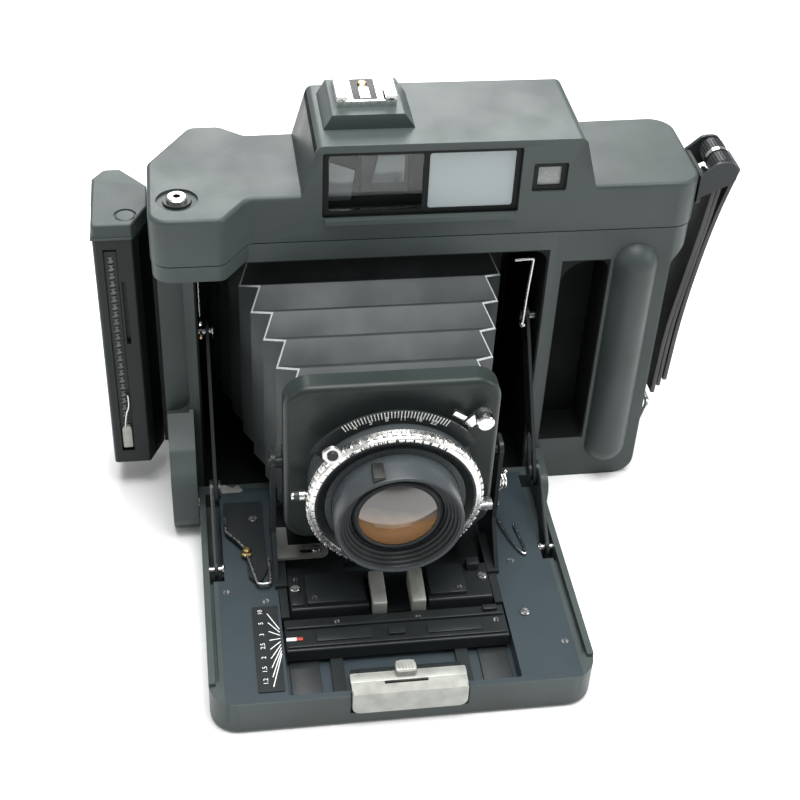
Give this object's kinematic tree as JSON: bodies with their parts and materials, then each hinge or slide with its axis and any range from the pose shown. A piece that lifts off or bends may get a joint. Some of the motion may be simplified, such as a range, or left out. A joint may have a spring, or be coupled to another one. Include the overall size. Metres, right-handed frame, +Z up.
{
  "type": "folding instant camera",
  "caption": "Folding bed camera with bellows, braced lens standard, coupled finder hump, side hand strap and roller door.",
  "frame": {"origin": "mouth of the camera bush in the flat base, on the plane of the lens axis", "axes": "+Z up from the base; -Y is the way the lens looks; +X is towards the hand grip"},
  "size_m": [0.2305, 0.1878, 0.1668],
  "materials": {
    "body": "satin",
    "dark": "satin",
    "black_metal": "satin",
    "silver": "satin",
    "steel": "satin",
    "aluminium": "satin",
    "glass": "polished",
    "clear": "polished",
    "frosted": "matte",
    "bellows": "satin",
    "strap": "satin",
    "brass": "satin"
  },
  "bodies": {
    "root": {"body_shell": "body", "grip_shell": "body", "top_cover": "body", "release_collar": "silver", "finder_frames": "dark", "finder_window": "clear", "frosted_window": "frosted", "rangefinder_window": "clear", "finder_lens": "clear", "eyepiece": "clear", "hot_shoe": "silver", "hinge_pins": "steel", "camera_bush": "brass", "brace_studs": "steel", "film_frame": "black_metal", "strap_bracket": "silver", "hand_strap": "strap"},
    "release_button": {"release_button": "silver"},
    "strap_roller": {"strap_roller": "silver"},
    "strap_ring": {"strap_ring": "silver"},
    "bed": {"bed_tray": "body", "focus_rails": "black_metal", "distance_scale": "black_metal", "catch_plate": "black_metal", "catch_spring": "steel", "bed_screws": "steel", "bed_studs": "steel"},
    "bed_latch": {"bed_latch": "aluminium"},
    "brace_upper_left": {"brace_upper_left": "black_metal"},
    "brace_upper_right": {"brace_upper_right": "black_metal"},
    "brace_lower_left": {"brace_lower_left": "black_metal"},
    "brace_lower_right": {"brace_lower_right": "black_metal"},
    "carriage": {"carriage_base": "black_metal", "rear_cross_bar": "dark", "front_cross_bar": "dark", "upright_left": "black_metal", "upright_right": "black_metal", "slotted_bracket": "aluminium", "carriage_screws": "steel", "torsion_spring": "steel"},
    "grip_left": {"finger_grip_left": "aluminium"},
    "grip_right": {"finger_grip_right": "aluminium"},
    "standard": {"lens_housing": "body", "shutter_case": "dark", "aperture_scale": "dark", "lens_barrel": "dark", "front_lens": "glass", "rear_lens": "glass", "shutter_blades": "black_metal", "bellows_front_frame": "black_metal", "bellows": "bellows"},
    "speed_ring": {"speed_ring": "aluminium"},
    "aperture_lever": {"aperture_lever": "aluminium"},
    "cocking_lever": {"cocking_lever": "silver"},
    "release_lever": {"release_lever": "silver"},
    "roller_door": {"roller_door_shell": "body"},
    "roller_front": {"roller_front": "steel"},
    "roller_rear": {"roller_rear": "steel"},
    "back_door": {"back_door": "body", "pressure_plate": "black_metal"}
  },
  "joints": [
    {"name": "bed_fold", "type": "hinge", "parent": "root", "child": "bed", "pos_m": [0, -0.037, 0.006], "axis": [1, 0, 0], "range_deg": [-90, 0], "deforming": ["bellows"]},
    {"name": "focus_slide", "type": "slide", "parent": "bed", "child": "carriage", "axis": [0, 1, 0], "range_m": [-0.006, 0.004]},
    {"name": "standard_tilt", "type": "hinge", "parent": "carriage", "child": "standard", "pos_m": [0, -0.075, 0.061], "axis": [1, 0, 0], "range_deg": [0, 90]},
    {"name": "brace_upper_left_swing", "type": "hinge", "parent": "root", "child": "brace_upper_left", "pos_m": [-0.0602, -0.0177, 0.0768], "axis": [1, 0, 0], "range_deg": [0, 36]},
    {"name": "brace_upper_right_swing", "type": "hinge", "parent": "root", "child": "brace_upper_right", "pos_m": [0.0602, -0.0177, 0.0768], "axis": [1, 0, 0], "range_deg": [0, 36]},
    {"name": "brace_lower_left_swing", "type": "hinge", "parent": "bed", "child": "brace_lower_left", "pos_m": [-0.0617, -0.079, 0.0135], "axis": [1, 0, 0], "range_deg": [-17.5, 0]},
    {"name": "brace_lower_right_swing", "type": "hinge", "parent": "bed", "child": "brace_lower_right", "pos_m": [0.0617, -0.079, 0.0135], "axis": [1, 0, 0], "range_deg": [-17.5, 0]},
    {"name": "bed_latch_slide", "type": "slide", "parent": "bed", "child": "bed_latch", "axis": [0, -1, 0], "range_m": [0, 0.0015], "stiffness_N_per_m": 400, "springref_m": -0.001},
    {"name": "grip_left_slide", "type": "slide", "parent": "carriage", "child": "grip_left", "axis": [1, 0, 0], "range_m": [0, 0.0025], "stiffness_N_per_m": 300, "springref_m": -0.002},
    {"name": "grip_right_slide", "type": "slide", "parent": "carriage", "child": "grip_right", "axis": [1, 0, 0], "range_m": [-0.0025, 0]},
    {"name": "speed_ring_turn", "type": "hinge", "parent": "standard", "child": "speed_ring", "pos_m": [0, -0.096, 0.06], "axis": [0, 1, 0], "range_deg": [-75, 75]},
    {"name": "aperture_lever_turn", "type": "hinge", "parent": "standard", "child": "aperture_lever", "pos_m": [0, -0.092, 0.06], "axis": [0, 1, 0], "range_deg": [-10, 40]},
    {"name": "cocking_lever_turn", "type": "hinge", "parent": "standard", "child": "cocking_lever", "pos_m": [0, -0.088, 0.06], "axis": [0, 1, 0], "range_deg": [0, 28], "stiffness_Nm_per_rad": 0.02, "springref_deg": -5.73},
    {"name": "release_lever_turn", "type": "hinge", "parent": "standard", "child": "release_lever", "pos_m": [0, -0.089, 0.06], "axis": [0, 1, 0], "range_deg": [0, 12], "stiffness_Nm_per_rad": 0.02, "springref_deg": -5.73},
    {"name": "release_button_press", "type": "slide", "parent": "root", "child": "release_button", "axis": [0, 0, -1], "range_m": [0, 0.0025], "stiffness_N_per_m": 500, "springref_m": -0.001},
    {"name": "strap_roller_turn", "type": "hinge", "parent": "root", "child": "strap_roller", "pos_m": [0.127, -0.0105, 0.1382], "axis": [0, 1, 0], "continuous": true},
    {"name": "strap_ring_swing", "type": "hinge", "parent": "root", "child": "strap_ring", "pos_m": [0.1121, -0.0105, 0.017], "axis": [0, 1, 0], "range_deg": [-10, 60]},
    {"name": "roller_door_swing", "type": "hinge", "parent": "root", "child": "roller_door", "pos_m": [-0.0812, 0.018, 0.06], "axis": [0, 0, -1], "range_deg": [0, 80]},
    {"name": "roller_front_turn", "type": "hinge", "parent": "roller_door", "child": "roller_front", "pos_m": [-0.0891, -0.002, 0.06], "axis": [0, 0, 1], "continuous": true},
    {"name": "roller_rear_turn", "type": "hinge", "parent": "roller_door", "child": "roller_rear", "pos_m": [-0.0891, 0.0085, 0.06], "axis": [0, 0, 1], "continuous": true},
    {"name": "back_door_swing", "type": "hinge", "parent": "root", "child": "back_door", "pos_m": [0.1115, 0.034, 0.06], "axis": [0, 0, -1], "range_deg": [0, 95]}
  ],
  "couplings": [
    {"joint": "standard_tilt", "follows": "bed_fold", "ratio": -1},
    {"joint": "brace_upper_left_swing", "follows": "bed_fold", "ratio": -0.392},
    {"joint": "brace_upper_right_swing", "follows": "bed_fold", "ratio": -0.392},
    {"joint": "brace_lower_left_swing", "follows": "bed_fold", "ratio": 0.188},
    {"joint": "brace_lower_right_swing", "follows": "bed_fold", "ratio": 0.188},
    {"joint": "grip_right_slide", "follows": "grip_left_slide", "ratio": -1},
    {"joint": "roller_rear_turn", "follows": "roller_front_turn", "ratio": -1}
  ]
}
